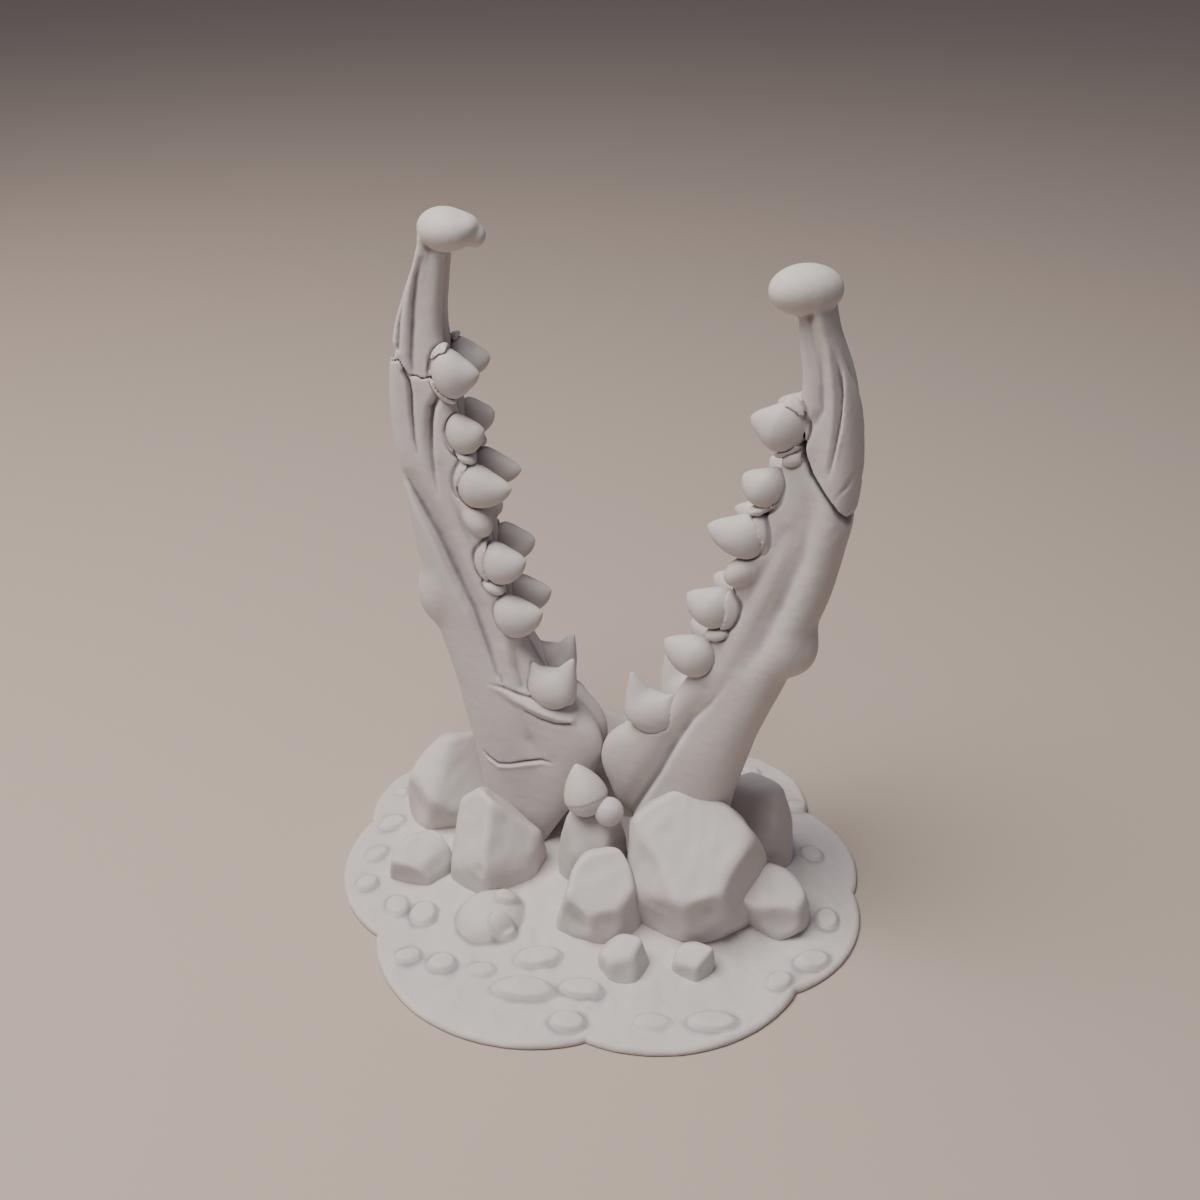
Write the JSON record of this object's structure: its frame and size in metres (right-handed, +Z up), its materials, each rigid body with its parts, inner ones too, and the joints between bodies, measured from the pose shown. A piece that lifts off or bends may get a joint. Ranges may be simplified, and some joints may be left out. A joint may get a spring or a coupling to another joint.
{
  "type": "toothed jawbone statuette on a rocky base",
  "caption": "Cast statuette of a beast's toothed jawbones standing chin down in a V among boulders on a wavy-edged ground base.",
  "frame": {"origin": "middle of the base's box on its flat underside", "axes": "+Z up; +X from the taller jaw on the left to the shorter one on the right; +Y away from the camera's side, so the front is -Y"},
  "size_m": [0.1564, 0.1526, 0.1912],
  "materials": {
    "pale_resin": "matt, uncoated casting resin, pale warm grey"
  },
  "bodies": {
    "root": {"ground": "pale_resin", "left_jaw_chin": "pale_resin", "left_jaw_body": "pale_resin", "left_jaw_ramus": "pale_resin", "left_jaw_condyle": "pale_resin", "right_jaw_chin": "pale_resin", "right_jaw_body": "pale_resin", "right_jaw_ramus": "pale_resin", "right_jaw_condyle": "pale_resin", "boulder_front_right": "pale_resin", "boulder_front_left": "pale_resin", "boulder_front_middle": "pale_resin", "boulder_back_left": "pale_resin", "boulder_back_right": "pale_resin", "boulder_right": "pale_resin", "boulder_behind": "pale_resin", "boulder_behind_left": "pale_resin", "boulder_behind_right": "pale_resin", "stone_left": "pale_resin", "stone_front_middle": "pale_resin", "stone_front_right": "pale_resin", "stone_under_chins": "pale_resin", "stone_ball": "pale_resin", "pointed_stone": "pale_resin"}
  },
  "joints": []
}
